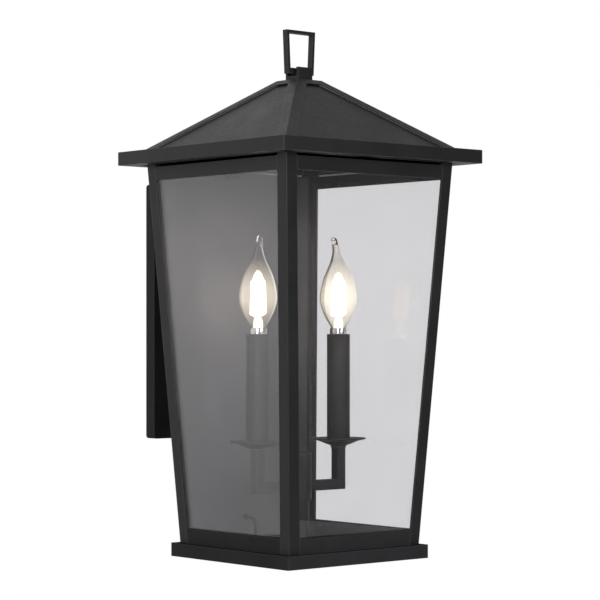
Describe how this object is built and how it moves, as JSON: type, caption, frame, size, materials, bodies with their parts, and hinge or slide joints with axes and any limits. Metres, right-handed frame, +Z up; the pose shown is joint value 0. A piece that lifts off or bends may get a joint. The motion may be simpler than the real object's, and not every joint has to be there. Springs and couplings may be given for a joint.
{
  "type": "outdoor wall lantern",
  "caption": "Tapered square wall lantern with clear panes, a hipped roof with a loop finial and candle lamps on a back plate.",
  "frame": {"origin": "centre of the wall bracket's screw slots, on the wall plane", "axes": "+Z up, +Y into the wall, -Y to the front, +X to the right seen from the front"},
  "size_m": [0.2416, 0.2683, 0.4892],
  "materials": {
    "black_paint": "matte to satin powder coat",
    "zinc_steel": "zinc plated",
    "pane_glass": "clear flat glass",
    "lamp_cap": "bright nickel",
    "bulb_glass": "clear blown glass",
    "filament": "lit light sticks",
    "holder_plastic": "moulded",
    "connector_plastic": "moulded",
    "brass": "plain",
    "lead_insulation": "smooth insulation",
    "foam_rubber": "closed-cell foam",
    "ground_green": "green coat"
  },
  "bodies": {
    "cage": {"base_tray": "black_paint", "base_cover": "black_paint", "post_front_left": "black_paint", "post_front_right": "black_paint", "post_back_right": "black_paint", "post_back_left": "black_paint", "top_rails": "black_paint", "bottom_rails": "black_paint", "back_panel": "black_paint", "back_plate": "black_paint", "mount_arm": "black_paint", "wire_channel": "black_paint", "stem_tube": "black_paint", "hub": "black_paint", "hub_cap": "black_paint", "arm_left": "black_paint", "arm_right": "black_paint", "pan_seats": "black_paint", "drip_pan_left": "black_paint", "drip_pan_right": "black_paint", "cap_nuts": "black_paint", "base_screws": "black_paint", "cage_screws": "black_paint", "glass_clips": "black_paint", "bridge_bar": "black_paint", "roof_rod": "black_paint", "rod_nuts": "black_paint", "stem_nipple": "zinc_steel", "stem_nut": "zinc_steel", "candle_studs": "zinc_steel", "wall_bracket": "zinc_steel", "bracket_studs": "zinc_steel", "stud_nuts": "zinc_steel", "glass_front": "pane_glass", "glass_left": "pane_glass", "glass_right": "pane_glass", "lamp_holders": "holder_plastic", "holder_contacts": "brass", "leads": "lead_insulation", "wire_splice": "holder_plastic", "supply_connector": "connector_plastic", "wall_gasket": "foam_rubber", "ground_screw": "ground_green"},
    "roof": {"eave_frame": "black_paint", "roof_panel_front": "black_paint", "roof_panel_right": "black_paint", "roof_panel_back": "black_paint", "roof_panel_left": "black_paint", "hip_ribs": "black_paint", "roof_cap": "black_paint"},
    "finial": {"finial_saddle": "black_paint", "finial_loop": "black_paint"},
    "sleeve_left": {"candle_sleeve_left": "black_paint"},
    "bulb_left": {"bulb_cap_left": "lamp_cap", "bulb_glass_left": "bulb_glass", "bulb_filament_left": "filament"},
    "sleeve_right": {"candle_sleeve_right": "black_paint"},
    "bulb_right": {"bulb_cap_right": "lamp_cap", "bulb_glass_right": "bulb_glass", "bulb_filament_right": "filament"}
  },
  "joints": [
    {"name": "roof_lift", "type": "slide", "parent": "cage", "child": "roof", "axis": [0, 0, 1], "range_m": [0, 0.12]},
    {"name": "finial_turn", "type": "hinge", "parent": "roof", "child": "finial", "pos_m": [0, -0.1475, 0.216], "axis": [0, 0, 1], "continuous": true},
    {"name": "sleeve_left_lift", "type": "slide", "parent": "cage", "child": "sleeve_left", "axis": [0, 0, 1], "range_m": [0, 0.03]},
    {"name": "bulb_left_lift", "type": "slide", "parent": "sleeve_left", "child": "bulb_left", "axis": [0, 0, 1], "range_m": [0, 0.04]},
    {"name": "sleeve_right_lift", "type": "slide", "parent": "cage", "child": "sleeve_right", "axis": [0, 0, 1], "range_m": [0, 0.03]},
    {"name": "bulb_right_lift", "type": "slide", "parent": "sleeve_right", "child": "bulb_right", "axis": [0, 0, 1], "range_m": [0, 0.04]}
  ]
}
